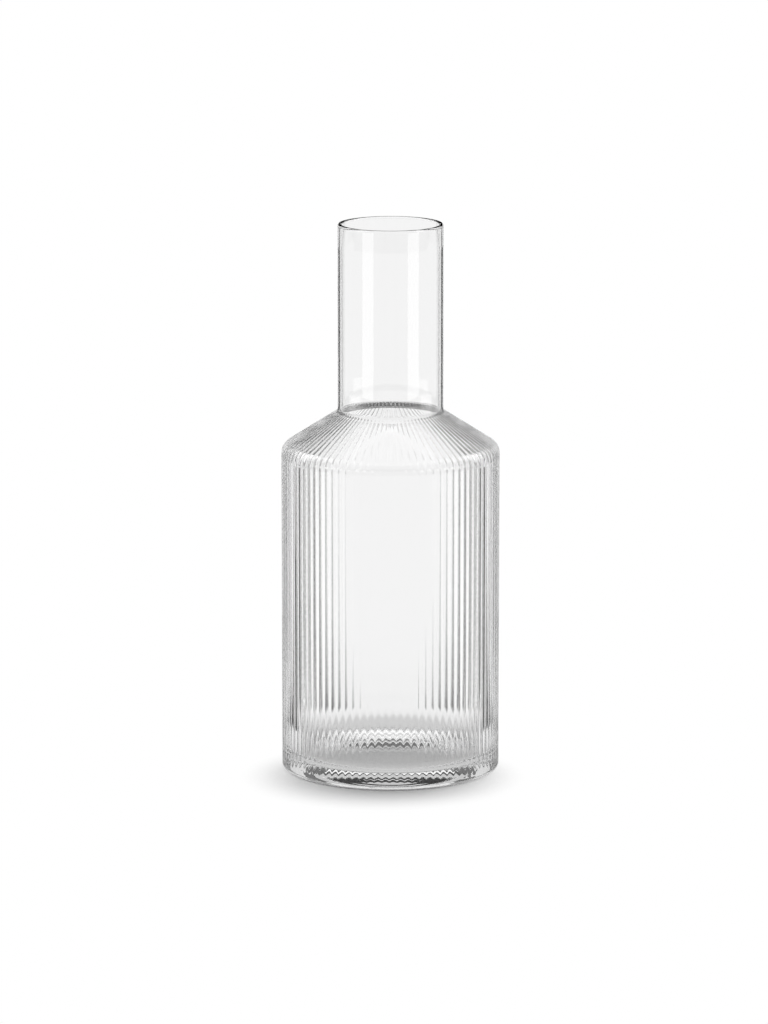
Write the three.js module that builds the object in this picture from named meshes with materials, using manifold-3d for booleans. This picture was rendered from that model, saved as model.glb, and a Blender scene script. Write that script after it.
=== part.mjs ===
// A clear glass table carafe: smooth open neck, ribbed cone shoulder, ribbed straight body, thick foot.
// Millimetres, +Z up, standing on the origin. The glass is the solid inside the outer skin less the hollow
// inside it. It is drawn as four sections of one wall, which meet face to face on level planes.
import * as THREE from 'three';
import { mergeVertices } from 'three/addons/utils/BufferGeometryUtils.js';
import Module from 'manifold-3d';

// Outside sizes
const carafeHeight = 227.5;
const bodyDiameter = 90; // over the crests of the ribs
const neckDiameter = 43.6;
const neckLength = 77.5; // from the rim down to where the lines of neck and shoulder cross
const shoulderRise = 14.8; // height of the cone, between the lines of the body and the neck

// Glass thicknesses
const neckWall = 1.5;
const rimWall = 2; // the rim melts back into a slightly thicker bead
const rimTaper = 10; // height over which the bead thins to the neck
const shoulderWall = 2.8;
const bodyWall = 2.4; // under a crest
const floorHeight = 6; // of the floor inside, above the table
const puntRise = 2; // hollow under the middle of the foot
const standDiameter = 72; // inner edge of the flat ring that the carafe stands on

// Roundings
const heelRound = 2;
const shoulderRound = 5;
const neckRound = 3; // hollow corner outside, between shoulder and neck
const boreRound = 1.5; // the same bend inside, where the glass is thick
const floorRound = 6; // inside, between floor and wall
const rimFlat = 0.3; // left level on top of the fire-polished rim

// Ribs
const ribCount = 90;
const ribDepth = 0.3; // from crest to groove on the body
const ribStart = 3.4; // height of the smooth heel
const ribFadeIn = 5; // height over which a rib grows out of the smooth heel
const ribFadeOut = 0.8; // radius over which a rib dies away at the neck
const ribTurn = THREE.MathUtils.degToRad(-0.64); // about the axis, from a crest straight in front

// Facets
const ribFacets = 3; // one line along the narrow crest of a rib and two in the wide groove beside it
const smoothFacets = 60;
const puntRings = 3; // of facets in the hollow under the foot
const arcStep = THREE.MathUtils.degToRad(24);

// Worked out from the sizes above
const bodyRadius = bodyDiameter / 2;
const neckRadius = neckDiameter / 2;
const bodyBore = bodyRadius - bodyWall;
const neckBore = neckRadius - neckWall;
const rimBore = neckRadius - rimWall;
const neckFoot = carafeHeight - neckLength;
const shoulderFoot = neckFoot - shoulderRise;
const shoulderSlope = Math.atan2(shoulderRise, bodyRadius - neckRadius);
const shoulderTurn = Math.PI / 2 - shoulderSlope; // the wall turns by this much at both ends of the cone
const bodyTop = shoulderFoot - shoulderRound * Math.tan(shoulderTurn / 2);
const neckBase = neckFoot + Math.max(neckRound, boreRound) * Math.tan(shoulderTurn / 2);
const rimRound = (rimWall - rimFlat) / 2;
const hollowTop = carafeHeight + rimWall;
const standRadius = standDiameter / 2;

const wasm = await Module();
wasm.setup();

// Height of the cone's inside at a radius: the outer cone moved in by the shoulder's thickness.
function coneInside(radius) {
  const outside = shoulderFoot + (bodyRadius - radius) * Math.tan(shoulderSlope);
  return outside - shoulderWall / Math.cos(shoulderSlope);
}

// Points of an outline through corners [radius, height, rounding], each rounding drawn as an arc.
function outline(corners) {
  const points = corners.map(([radius, height]) => new THREE.Vector2(radius, height));
  return corners.flatMap(([, , rounding], i) => {
    if (!rounding) return [points[i]];
    const back = points[i - 1].clone().sub(points[i]).normalize();
    const ahead = points[i + 1].clone().sub(points[i]).normalize();
    const half = Math.acos(back.dot(ahead)) / 2;
    const middle = back.clone().add(ahead).normalize();
    const centre = points[i].clone().addScaledVector(middle, rounding / Math.sin(half));
    const turn = Math.PI - 2 * half;
    const steps = Math.ceil(turn / arcStep);
    const side = Math.sign(back.cross(ahead));
    const first = points[i].clone().addScaledVector(back, rounding / Math.tan(half));
    return Array.from({ length: steps + 1 }, (_, k) =>
      first.clone().rotateAround(centre, (-side * turn * k) / steps));
  });
}

// Share of the full rib depth at a point of the skin: none on the heel and the neck, full on the body,
// and in proportion to the radius on the cone, where the ribs close up.
function ribShare(radius, height) {
  const grown = THREE.MathUtils.clamp((height - ribStart) / ribFadeIn, 0, 1);
  const left = THREE.MathUtils.clamp((radius - neckRadius) / ribFadeOut, 0, 1);
  return (grown * left * radius) / bodyRadius;
}

// A revolved solid about Z, with the ribs cut into its skin or without.
function revolve(corners, ribbed) {
  const facets = ribbed ? ribCount * ribFacets : smoothFacets;
  const geometry = new THREE.LatheGeometry(outline(corners), facets).rotateX(Math.PI / 2);
  if (ribbed) {
    cutGrooves(geometry.getAttribute('position'));
    geometry.rotateZ(ribTurn);
  }
  geometry.deleteAttribute('normal');
  geometry.deleteAttribute('uv');
  const { index, attributes } = mergeVertices(geometry);
  const mesh = new wasm.Mesh({
    numProp: 3,
    vertProperties: attributes.position.array,
    triVerts: Uint32Array.from(index.array),
  });
  return new wasm.Manifold(mesh);
}

// Sinks every line of the skin that isn't along a crest.
function cutGrooves(position) {
  const pitch = (2 * Math.PI) / ribCount;
  for (let i = 0; i < position.count; i += 1) {
    const radius = Math.hypot(position.getX(i), position.getY(i));
    const line = Math.round((Math.atan2(position.getX(i), -position.getY(i)) / pitch) * ribFacets);
    if (line % ribFacets === 0 || radius < neckRadius) continue;
    const sunk = 1 - (ribDepth * ribShare(radius, position.getZ(i))) / radius;
    position.setXY(i, position.getX(i) * sunk, position.getY(i) * sunk);
  }
}

// The inside of the carafe, open upwards through the rim.
function hollow() {
  return revolve([
    [0, floorHeight],
    [bodyBore, floorHeight, floorRound],
    [bodyBore, coneInside(bodyBore), shoulderRound],
    [neckBore, coneInside(neckBore), boreRound],
    [neckBore, carafeHeight - rimTaper],
    [rimBore, carafeHeight, rimRound],
    [neckRadius - rimRound, carafeHeight],
    [neckRadius - rimRound, hollowTop],
    [0, hollowTop],
  ], false);
}

// The hollow under the foot is a shallow dish: its rise falls with the square of the radius.
function punt() {
  const dish = Array.from({ length: puntRings + 1 }, (_, k) => {
    const share = 1 - k / puntRings;
    return [standRadius * share, puntRise * (1 - share ** 2)];
  });
  return revolve([[0, -puntRise], [standRadius, -puntRise], ...dish], false);
}

function footSkin() {
  return revolve([
    [0, 0],
    [bodyRadius, 0, heelRound],
    [bodyRadius, ribStart],
    [bodyRadius, floorHeight],
    [0, floorHeight],
  ], true);
}

function bodySkin() {
  return revolve([
    [0, floorHeight],
    [bodyRadius, floorHeight],
    [bodyRadius, ribStart + ribFadeIn],
    [bodyRadius, bodyTop],
    [0, bodyTop],
  ], true);
}

// The cone carries a ring of points where its ribs begin to die away.
function shoulderSkin() {
  const ribEnd = neckRadius + neckRound * Math.sin(shoulderTurn) + ribFadeOut;
  return revolve([
    [0, bodyTop],
    [bodyRadius, bodyTop],
    [bodyRadius, shoulderFoot, shoulderRound],
    [ribEnd, shoulderFoot + (bodyRadius - ribEnd) * Math.tan(shoulderSlope)],
    [neckRadius, neckFoot, neckRound],
    [neckRadius, neckBase],
    [0, neckBase],
  ], true);
}

function neckSkin() {
  return revolve([
    [0, neckBase],
    [neckRadius, neckBase],
    [neckRadius, carafeHeight, rimRound],
    [0, carafeHeight],
  ], false);
}

function glass() {
  return new THREE.MeshStandardMaterial({
    color: 0xf4f7f6,
    roughness: 0.03,
    metalness: 0,
    transparent: true,
    opacity: 0.35,
  });
}

function section(name, solid) {
  const { vertProperties, triVerts } = solid.getMesh();
  const geometry = new THREE.BufferGeometry();
  geometry.setAttribute('position', new THREE.BufferAttribute(vertProperties, 3));
  geometry.setIndex(new THREE.BufferAttribute(triVerts, 1));
  geometry.computeVertexNormals();
  const mesh = new THREE.Mesh(geometry, glass());
  mesh.name = name;
  return mesh;
}

const inside = hollow();
const carafe = new THREE.Group();
carafe.add(section('foot', footSkin().subtract(punt())));
carafe.add(section('ribbed_body', bodySkin().subtract(inside)));
carafe.add(section('shoulder', shoulderSkin().subtract(inside)));
carafe.add(section('neck', neckSkin().subtract(inside)));

export default carafe;
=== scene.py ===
import math

import bmesh
import bpy
import numpy as np
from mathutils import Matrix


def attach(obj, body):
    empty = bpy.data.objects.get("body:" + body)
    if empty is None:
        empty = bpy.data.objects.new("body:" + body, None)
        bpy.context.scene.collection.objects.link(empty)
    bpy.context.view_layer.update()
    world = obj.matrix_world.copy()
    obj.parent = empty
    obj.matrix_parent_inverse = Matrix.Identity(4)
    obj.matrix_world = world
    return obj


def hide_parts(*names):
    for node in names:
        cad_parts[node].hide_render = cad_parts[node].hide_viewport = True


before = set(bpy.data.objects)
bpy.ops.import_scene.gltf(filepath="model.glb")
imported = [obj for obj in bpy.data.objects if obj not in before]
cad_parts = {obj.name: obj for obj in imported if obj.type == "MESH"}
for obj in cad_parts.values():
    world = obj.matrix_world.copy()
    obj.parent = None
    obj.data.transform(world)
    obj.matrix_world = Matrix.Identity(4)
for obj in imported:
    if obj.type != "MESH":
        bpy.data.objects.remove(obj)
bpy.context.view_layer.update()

mm = 0.001
scene = bpy.context.scene


def linearColour(hexText):
    # sRGB hex to the linear colour that Blender's sockets take
    share = np.array([int(hexText[i:i + 2], 16) for i in (1, 3, 5)]) / 255
    linear = np.where(share <= 0.04045, share / 12.92, ((share + 0.055) / 1.055) ** 2.4)
    return (*linear.tolist(), 1.0)


def addNode(tree, kind, settings=None, inputs=None, links=None):
    # one node: its settings, its socket values, and links as socket -> (node, output)
    node = tree.nodes.new(kind)
    for name, value in (settings or {}).items():
        setattr(node, name, value)
    for name, value in (inputs or {}).items():
        node.inputs[name].default_value = value
    for name, (source, output) in (links or {}).items():
        tree.links.new(source.outputs[output], node.inputs[name])
    return node


def newMaterial(name):
    material = bpy.data.materials.new(name)
    material.use_nodes = True
    material.node_tree.nodes.clear()
    return material, material.node_tree


def gridObject(name, points, ring, material):
    # points[row, column] in millimetres become quads between neighbours; a ring closes on its first column
    rows, columns = points.shape[:2]
    row, column = np.meshgrid(np.arange(rows - 1), np.arange(columns if ring else columns - 1), indexing="ij")
    after = (column + 1) % columns
    quads = np.stack([row * columns + column, row * columns + after,
                      (row + 1) * columns + after, (row + 1) * columns + column], -1).reshape(-1, 4)
    mesh = bpy.data.meshes.new(name)
    mesh.vertices.add(rows * columns)
    mesh.vertices.foreach_set("co", (points * mm).ravel())
    mesh.loops.add(quads.size)
    mesh.loops.foreach_set("vertex_index", quads.ravel())
    mesh.polygons.add(len(quads))
    mesh.polygons.foreach_set("loop_start", np.arange(len(quads)) * 4)
    mesh.polygons.foreach_set("use_smooth", np.ones(len(quads), bool))
    mesh.update(calc_edges=True)
    mesh.materials.append(material)
    piece = bpy.data.objects.new(name, mesh)
    scene.collection.objects.link(piece)
    return piece


# Carafe: one blown wall of clear glass, from the thick foot to the fire-polished rim
carafe = {
    "height": 227.5,
    "bodyRadius": 44.995,    # over the crests of the ribs
    "neckRadius": 21.8,
    "neckLength": 77.5,
    "shoulderRise": 14.8,
    "neckWall": 1.5,
    "rimWall": 2.0,          # the rim melts back into a slightly thicker bead
    "rimTaper": 10.0,
    "shoulderWall": 2.8,
    "bodyWall": 2.4,
    "floor": 6.0,
    "punt": 2.0,             # the underside is hollowed by this much
    "footRing": 36.0,        # radius of the ring that the carafe stands on
    "puntRings": 8,
    "heelRound": 1.6,
    "shoulderRound": 5.0,
    "neckRound": 2.0,        # hollow corner outside, between shoulder and neck
    "boreRound": 1.5,        # the same bend inside
    "floorRound": 5.0,
    "ribs": 90,
    "ribDepth": 0.3,
    "ribPower": 0.5,         # below 1 the crests are narrow and the grooves wide
    "ribTurn": 1.0,          # radians of one rib that the pattern is turned by
    "ribStart": 3.4,
    "ribFadeIn": 5.0,
    "ribFadeOut": 0.8,
    "fadeInRows": (0, 0.33, 0.67, 1),    # shares of ribFadeIn where the outline has a row
    "fadeOutRows": (1.4, 1, 0.67),       # shares of ribFadeOut outside the neck corner
    "neckCornerReach": 0.6,              # share of neckRound that the corner takes up of the radius
    "rimRoundShare": 0.49,               # of rimWall, so that the rim is round
    "pointsPerRib": 10,
    "arcStep": 10.0,         # degrees
    "guard": 0.4,            # rows this close to each rounding keep the straights straight
}


def roundedOutline(corners, arcStep, guard):
    # corners (radius, height, rounding) joined by straight lines, each rounding drawn as an arc that is
    # tangent to both of its lines, with one more point on the line just before and just after it
    points = []
    for i, (radius, height, rounding) in enumerate(corners):
        corner = np.array([radius, height])
        if not rounding:
            points.append(corner[None])
            continue
        back, ahead = [np.array(corners[k][:2]) - corner for k in (i - 1, i + 1)]
        back, ahead = back / np.linalg.norm(back), ahead / np.linalg.norm(ahead)
        half = math.acos(back @ ahead) / 2
        reach = rounding / math.tan(half)
        centre = corner + (back + ahead) / np.linalg.norm(back + ahead) * rounding / math.sin(half)
        turn = math.pi - 2 * half
        steps = max(2, math.ceil(turn / math.radians(arcStep)))
        sweep = -np.sign(back[0] * ahead[1] - back[1] * ahead[0]) * turn * np.linspace(0, 1, steps + 1)
        x, y = corner + back * reach - centre
        arc = np.stack([x * np.cos(sweep) - y * np.sin(sweep), x * np.sin(sweep) + y * np.cos(sweep)], 1)
        before, after = corner + back * (reach + guard), corner + ahead * (reach + guard)
        points.append(np.concatenate([before[None], centre + arc, after[None]]))
    return np.concatenate(points)


def carafeProfile(c):
    # the wall's outline in (radius, height): underside, heel, body, shoulder, neck, rim, and back down inside
    bodyRadius, neckRadius, top = c["bodyRadius"], c["neckRadius"], c["height"]
    neckFoot = top - c["neckLength"]
    shoulderFoot = neckFoot - c["shoulderRise"]
    rise = c["shoulderRise"] / (bodyRadius - neckRadius)
    bodyBore, neckBore, rimBore = bodyRadius - c["bodyWall"], neckRadius - c["neckWall"], neckRadius - c["rimWall"]
    rimRound = c["rimWall"] * c["rimRoundShare"]
    wallDrop = c["shoulderWall"] * math.hypot(1, rise)

    def cone(radius):
        return shoulderFoot + (bodyRadius - radius) * rise

    ribEnd = neckRadius + c["neckRound"] * c["neckCornerReach"]
    fadeIn = [(bodyRadius, c["ribStart"] + c["ribFadeIn"] * k, 0) for k in c["fadeInRows"]]
    fadeOut = [(r, cone(r), 0) for r in (ribEnd + c["ribFadeOut"] * k for k in c["fadeOutRows"])]
    hollow = [(r, c["punt"] * (1 - (r / c["footRing"]) ** 2), 0)
              for r in np.linspace(0, c["footRing"], c["puntRings"])]
    outside = [*hollow, (bodyRadius, 0, c["heelRound"]), *fadeIn,
               (bodyRadius, shoulderFoot, c["shoulderRound"]), *fadeOut,
               (neckRadius, neckFoot, c["neckRound"]), (neckRadius, top, rimRound)]
    inside = [(rimBore, top, rimRound), (neckBore, top - c["rimTaper"], 3 * c["rimTaper"]),
              (neckBore, cone(neckBore) - wallDrop, c["boreRound"]),
              (bodyBore, cone(bodyBore) - wallDrop, c["shoulderRound"]),
              (bodyBore, c["floor"], c["floorRound"]), (0, c["floor"], 0)]
    outline = roundedOutline(outside + inside, c["arcStep"], c["guard"])
    isOutside = np.arange(len(outline)) < np.argmax(outline[:, 1])
    return outline, isOutside


def ribbedWall(c):
    # the outline turned about Z, and on the outside each point sunk along the outline's normal by
    # ribDepth * share * groove(angle), where groove = ((1 - cos(ribs * angle + ribTurn)) / 2) ** ribPower, and
    # share follows the radius and falls to 0 at the heel and the neck
    outline, isOutside = carafeProfile(c)
    along = np.gradient(outline, axis=0)
    along /= np.linalg.norm(along, axis=1, keepdims=True)
    radius, height = outline[:, :1], outline[:, 1:]
    grown = np.clip((height - c["ribStart"]) / c["ribFadeIn"], 0, 1)
    left = np.clip((radius - c["neckRadius"]) / c["ribFadeOut"], 0, 1)
    share = np.where(isOutside[:, None], grown * left * radius / c["bodyRadius"], 0)
    angle = np.linspace(0, 2 * math.pi, c["ribs"] * c["pointsPerRib"], endpoint=False)[None]
    groove = ((1 - np.cos(c["ribs"] * angle + c["ribTurn"])) / 2) ** c["ribPower"]
    sunk = c["ribDepth"] * share * groove
    reach, rise = radius - sunk * along[:, 1:], height + sunk * along[:, :1]
    return np.stack([reach * np.sin(angle), -reach * np.cos(angle), rise], -1)


# Soda-lime glass, blown in a ribbed mould and fire polished: clear, mirror smooth, with a slow waviness
clearGlass, tree = newMaterial("soda lime glass, blown")
place = addNode(tree, "ShaderNodeTexCoord")
waves = addNode(tree, "ShaderNodeTexNoise", inputs={"Scale": 1 / (14 * mm), "Detail": 1.0},
                links={"Vector": (place, "Object")})
ripple = addNode(tree, "ShaderNodeBump", inputs={"Strength": 1.0, "Distance": 0.02 * mm},
                 links={"Height": (waves, "Fac")})
glass = addNode(tree, "ShaderNodeBsdfPrincipled",
                inputs={"Base Color": linearColour("#FEFEFE"), "Roughness": 0.0, "IOR": 1.51,
                        "Transmission Weight": 1.0},
                links={"Normal": (ripple, "Normal")})
addNode(tree, "ShaderNodeOutputMaterial", links={"Surface": (glass, "BSDF")})

carafePiece = gridObject("carafe_glass", ribbedWall(carafe), True, clearGlass)
shell = bmesh.new()
shell.from_mesh(carafePiece.data)
bmesh.ops.remove_doubles(shell, verts=shell.verts, dist=0.001 * mm)  # closes both poles
bmesh.ops.recalc_face_normals(shell, faces=shell.faces)
if shell.calc_volume(signed=True) < 0:
    bmesh.ops.reverse_faces(shell, faces=shell.faces)  # all faces look out of the glass
print("carafe glass:", len(shell.faces), "faces, glass volume", round(shell.calc_volume() * 1e6, 1), "ml")
shell.to_mesh(carafePiece.data)
shell.free()
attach(carafePiece, "root")
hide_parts("foot", "ribbed_body", "shoulder", "neck")

# Studio: pale floor with a painted shadow and painted shade about the foot, low white backdrop with a dark flag over
# it, pale walls, soft boxes beside and above, and cards lying on the floor that show only in the glass as painted
# reflections
studio = {
    "room": 0.15,              # level of the plain room around
    "floorDrop": 0.15,         # keeps the floor clear of the glass
    "floorReach": 12000,
    "floorColour": "#F0F0F0",
    "shadeCentre": (-3, -20),  # centre of the painted shadow: the floor's plain white is held back around here, to the front and a little to the left of the foot
    "shadeFrom": 24,           # distance from there where the floor's plain white begins to grow
    "shadeTo": 60,
    "floorThroughGlass": 0.92,  # level of the far floor as seen through the glass
    "floorUnderGlass": 0.58,   # the same close to the foot: painted shade, darker towards the foot
    "glassShadeFrom": 45,
    "glassShadeTo": 100,
    "cardLift": 0.3,           # a lying card is this high above the floor
    "backdrop": 1.0,
    "backdropAway": 4000,
    "backdropTall": 850,
    "backdropTo": 24,          # degrees to each side of straight behind
    "flag": 0.02,              # a dark flag hangs above the backdrop
    "flagTall": 2300,
    "fill": 0.75,              # pale walls to both sides of the backdrop
    "fillFrom": 38,
    "fillTo": 62,
    "lowBox": 3.0,             # seen only as a reflection
    "lowBoxFrom": 117,
    "lowBoxTo": 143,
    "lowBoxAway": 900,
    "lowBoxTall": 200,
    "sideBox": 1.8,
    "sideFrom": 40,
    "sideTo": 85,
    "sideAway": 1000,
    "sideLow": 580,
    "sideHigh": 1400,
    "topBox": 1.2,
    "topWide": 1800,
    "topHigh": 1300,
    "arcPoints": 25,           # along each curved sheet
}
# lying cards on both sides, seen only in the glass and lighting nothing: the black ones are painted dark reflections,
# the white one a glowing painted reflection; name, nearest and farthest edge in mm, degrees from straight behind,
# level
lyingCards = [
    ("black_card_back", 100, 740, 20, 36, 0.0),
    ("black_card_side", 100, 740, 56, 78, 0.0),
    ("black_card_far", 740, 12000, 17, 32, 0.0),
    ("painted_reflection_card", 150, 900, 78, 110, 1.8),
]


def stageSheet(name, points, material):
    # part of the stage that the camera itself doesn't see
    sheet = gridObject(name, points, False, material)
    sheet.visible_camera = False
    return sheet


def standingArc(away, fromAngle, toAngle, low, high):
    # upright sheet on an arc about Z: (away * sin a, away * cos a, height), a measured from straight behind
    angle = np.radians(np.linspace(fromAngle, toAngle, studio["arcPoints"]))[None]
    height = np.array([low, high])[:, None]
    return np.stack(np.broadcast_arrays(away * np.sin(angle), away * np.cos(angle), height), -1)


def lyingArc(near, far, fromAngle, toAngle, height):
    # level sector about Z: (r * sin a, r * cos a, height) for r from near to far
    angle = np.radians(np.linspace(fromAngle, toAngle, studio["arcPoints"]))[None]
    reach = np.array([near, far])[:, None]
    return np.stack(np.broadcast_arrays(reach * np.sin(angle), reach * np.cos(angle), height), -1)


def glowMaterial(name, strength):
    silk, tree = newMaterial(name)
    glow = addNode(tree, "ShaderNodeEmission", inputs={"Strength": strength})
    addNode(tree, "ShaderNodeOutputMaterial", links={"Surface": (glow, "Emission")})
    return silk


paper, tree = newMaterial("matt white paper")
sheet = addNode(tree, "ShaderNodeBsdfPrincipled",
                inputs={"Base Color": linearColour(studio["floorColour"]), "Roughness": 0.9,
                        "Specular IOR Level": 0.1})
white = addNode(tree, "ShaderNodeEmission", inputs={"Strength": 1.0})
ray = addNode(tree, "ShaderNodeLightPath")
place = addNode(tree, "ShaderNodeTexCoord")
away = addNode(tree, "ShaderNodeVectorMath", {"operation": "LENGTH"}, links={0: (place, "Object")})
# Painted shadow: from the camera the floor is plain white away from shadeCentre, and near it the lit floor shows with
# its own shade, so the shadow is partly real and its shape is painted
shade = addNode(tree, "ShaderNodeVectorMath", {"operation": "DISTANCE"},
                {1: [v * mm for v in (*studio["shadeCentre"], 0)]}, {0: (place, "Object")})
whiteOutsidePaintedShadow = addNode(tree, "ShaderNodeMapRange", {"interpolation_type": "SMOOTHSTEP"},
                 {"From Min": studio["shadeFrom"] * mm, "From Max": studio["shadeTo"] * mm},
                 {"Value": (shade, "Value")})
# Painted shade: through the glass and in reflections the floor is a glow that grows darker towards the foot, in place
# of its lit shading
paintedShadeNearFoot = addNode(tree, "ShaderNodeMapRange", {"interpolation_type": "SMOOTHSTEP"},
               {"From Min": studio["glassShadeFrom"] * mm, "From Max": studio["glassShadeTo"] * mm,
                "To Min": studio["floorUnderGlass"], "To Max": studio["floorThroughGlass"]},
               {"Value": (away, "Value")})
# glow of the painted shade that the glass shows of the floor
pale = addNode(tree, "ShaderNodeEmission", links={"Strength": (paintedShadeNearFoot, "Result")})
cameraWhiteOutsidePaintedShadow = addNode(tree, "ShaderNodeMath", {"operation": "MULTIPLY"},
                     links={0: (ray, "Is Camera Ray"), 1: (whiteOutsidePaintedShadow, "Result")})
seenBent = addNode(tree, "ShaderNodeMath", {"operation": "MAXIMUM"},
                   links={0: (ray, "Is Transmission Ray"), 1: (ray, "Is Glossy Ray")})
lit = addNode(tree, "ShaderNodeMixShader",
              links={0: (cameraWhiteOutsidePaintedShadow, "Value"), 1: (sheet, "BSDF"), 2: (white, "Emission")})
mixed = addNode(tree, "ShaderNodeMixShader",
                links={0: (seenBent, "Value"), 1: (lit, "Shader"), 2: (pale, "Emission")})
addNode(tree, "ShaderNodeOutputMaterial", links={"Surface": (mixed, "Shader")})
side = studio["floorReach"] * np.array([-1.0, 1.0])
floorGrid = np.stack(np.broadcast_arrays(side[None, :], side[:, None], -studio["floorDrop"]), -1)
floor = gridObject("floor", floorGrid, False, paper)

for name, near, far, fromAngle, toAngle, level in lyingCards:
    face = glowMaterial(name.replace("_", " "), level)
    for sideName, turn in (("left", -1), ("right", 1)):
        card = stageSheet(f"{name}_{sideName}",
                          lyingArc(near, far, turn * fromAngle, turn * toAngle, studio["cardLift"]), face)
        # these cards light nothing and cast no shadow: what the glass shows of them is painted reflection
        card.visible_diffuse = False
        card.visible_shadow = False

stageSheet("backdrop", standingArc(studio["backdropAway"], -studio["backdropTo"], studio["backdropTo"],
                                   0, studio["backdropTall"]), glowMaterial("white backdrop", studio["backdrop"]))
stageSheet("flag", standingArc(studio["backdropAway"], -studio["backdropTo"], studio["backdropTo"],
                               studio["backdropTall"], studio["flagTall"]), glowMaterial("black felt", studio["flag"]))
lowGlow = glowMaterial("soft box silk low", studio["lowBox"])
sideGlow = glowMaterial("soft box silk beside", studio["sideBox"])
fillGlow = glowMaterial("pale wall", studio["fill"])
for sideName, turn in (("left", -1), ("right", 1)):
    stageSheet(f"pale_wall_{sideName}",
               standingArc(studio["backdropAway"], turn * studio["fillFrom"], turn * studio["fillTo"],
                           0, studio["flagTall"]), fillGlow)
    lowBox = stageSheet(f"soft_box_low_{sideName}",
                        standingArc(studio["lowBoxAway"], turn * studio["lowBoxFrom"], turn * studio["lowBoxTo"],
                                    0, studio["lowBoxTall"]), lowGlow)
    lowBox.visible_transmission = False
    stageSheet(f"soft_box_{sideName}",
               standingArc(studio["sideAway"], turn * studio["sideFrom"], turn * studio["sideTo"],
                           studio["sideLow"], studio["sideHigh"]), sideGlow)
side = studio["topWide"] / 2 * np.array([-1.0, 1.0])
topGrid = np.stack(np.broadcast_arrays(side[None, :], side[:, None], studio["topHigh"]), -1)
stageSheet("soft_box_above", topGrid, glowMaterial("soft box silk above", studio["topBox"]))

room = bpy.data.worlds.new("plain studio")
scene.world = room
room.use_nodes = True
room.node_tree.nodes["Background"].inputs["Color"].default_value = linearColour("#FFFFFF")
room.node_tree.nodes["Background"].inputs["Strength"].default_value = studio["room"]
print("studio: floor, backdrop, flag, pale walls, lying cards, five soft boxes")

# Camera: fitted to the outline in the photograph, in front and a little above
view = {
    "place": (-2.68, -2269.4, 560.7),  # mm
    "tilt": 78.70,                     # degrees from straight down
    "lens": 196.97,                    # mm
    "film": 36,                        # mm
    "sight": 20,                       # metres, farther than the floor's far edge
}
lens = bpy.data.cameras.new("camera")
lens.lens = view["lens"]
lens.sensor_width = view["film"]
lens.clip_end = view["sight"]
camera = bpy.data.objects.new("camera", lens)
camera.location = [v * mm for v in view["place"]]
camera.rotation_euler = (math.radians(view["tilt"]), 0, 0)
scene.collection.objects.link(camera)
scene.camera = camera

scene.view_settings.view_transform = "Standard"
scene.cycles.max_bounces = 32          # light crosses many glass faces before it leaves
scene.cycles.transmission_bounces = 32
scene.cycles.glossy_bounces = 16
